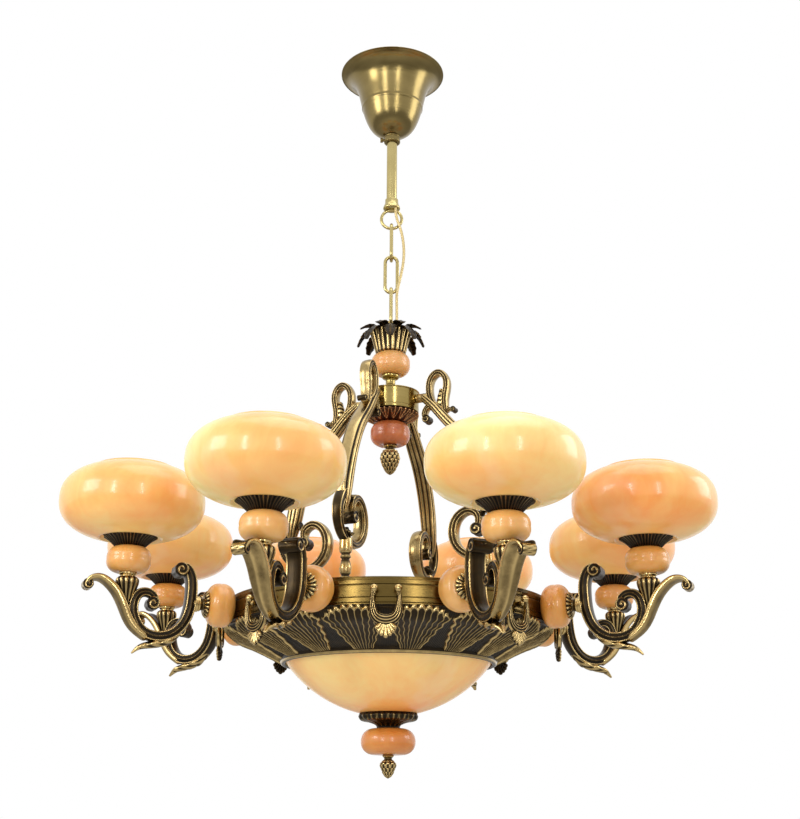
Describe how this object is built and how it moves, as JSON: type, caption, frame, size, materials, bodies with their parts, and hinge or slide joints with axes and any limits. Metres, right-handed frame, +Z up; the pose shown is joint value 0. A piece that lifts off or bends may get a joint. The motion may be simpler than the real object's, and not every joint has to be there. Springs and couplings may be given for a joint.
{
  "type": "alabaster chandelier",
  "caption": "Chandelier with alabaster cup shades on scrolled cast brass arms round a shell-skirted alabaster bowl, hung by a chain and stem.",
  "frame": {"origin": "centre of the two ceiling bolt holes, on the ceiling plane", "axes": "+Z up towards the ceiling, +X along the bracket, -Y to the front"},
  "size_m": [0.9116, 0.9116, 1.1445],
  "materials": {
    "zinc_steel": "zinc plated",
    "satin_brass": "satin lacquered",
    "polished_brass": "polished",
    "antique_brass": "dark antique patina, high spots rubbed back",
    "cord_jacket": "gold tinted clear",
    "grommet": "matt",
    "pale_alabaster": "polished, translucent",
    "honey_alabaster": "polished, translucent",
    "red_alabaster": "polished",
    "white_ceramic": "glazed",
    "opal_glass": "opal"
  },
  "bodies": {
    "mount_and_stem": {"ceiling_bracket": "zinc_steel", "bracket_nuts": "zinc_steel", "stem_tube": "satin_brass", "stem_eye": "satin_brass", "cord_1": "cord_jacket"},
    "canopy_body": {"canopy": "satin_brass", "canopy_collar": "satin_brass", "collar_screw": "satin_brass"},
    "upper_link": {"chain_link_1": "satin_brass", "cord_2": "cord_jacket"},
    "middle_link": {"chain_link_2": "satin_brass", "cord_3": "cord_jacket"},
    "lower_link": {"chain_link_3": "satin_brass", "cord_4": "cord_jacket"},
    "chandelier": {"arm_1": "antique_brass", "arm_2": "antique_brass", "arm_3": "antique_brass", "arm_4": "antique_brass", "arm_5": "antique_brass", "arm_6": "antique_brass", "arm_7": "antique_brass", "arm_8": "antique_brass", "bowl": "pale_alabaster", "bowl_bead": "honey_alabaster", "bowl_cap": "antique_brass", "bowl_finial": "antique_brass", "bulbs": "opal_glass", "cord_grommet": "grommet", "crown_bead": "honey_alabaster", "crown_leaves": "antique_brass", "crown_loop": "antique_brass", "drop_ornaments": "antique_brass", "frame_nuts": "zinc_steel", "hub_bead": "red_alabaster", "hub_drum": "polished_brass", "hub_finial": "antique_brass", "hub_leaf_cup": "antique_brass", "lamp_holders": "white_ceramic", "neck_spool": "polished_brass", "ring_band": "polished_brass", "ring_plate": "zinc_steel", "shade_1": "pale_alabaster", "shade_2": "pale_alabaster", "shade_3": "pale_alabaster", "shade_4": "pale_alabaster", "shade_5": "pale_alabaster", "shade_6": "pale_alabaster", "shade_7": "pale_alabaster", "shade_8": "pale_alabaster", "shade_beads": "honey_alabaster", "shade_cups": "antique_brass", "side_beads": "honey_alabaster", "side_collars": "antique_brass", "skirt": "antique_brass", "strut_1": "antique_brass", "strut_2": "antique_brass", "strut_3": "antique_brass", "strut_4": "antique_brass", "threaded_rods": "zinc_steel"}
  },
  "joints": [
    {"name": "canopy_slide", "type": "slide", "parent": "mount_and_stem", "child": "canopy_body", "axis": [0, 0, -1], "range_m": [0, 0.1]},
    {"name": "eye_swing", "type": "hinge", "parent": "mount_and_stem", "child": "upper_link", "pos_m": [0, 0, -0.2865], "axis": [1, 0, 0], "range_deg": [-15, 15], "deforming": ["cord_1"]},
    {"name": "upper_link_swing", "type": "hinge", "parent": "upper_link", "child": "middle_link", "pos_m": [0, 0, -0.34295], "axis": [0, 1, 0], "range_deg": [-15, 15], "deforming": ["cord_2"]},
    {"name": "middle_link_swing", "type": "hinge", "parent": "middle_link", "child": "lower_link", "pos_m": [0, 0, -0.39915], "axis": [1, 0, 0], "range_deg": [-15, 15], "deforming": ["cord_3"]},
    {"name": "lower_link_swing", "type": "hinge", "parent": "lower_link", "child": "chandelier", "pos_m": [0, 0, -0.45535], "axis": [0, 1, 0], "range_deg": [-15, 15], "deforming": ["cord_4"]}
  ]
}
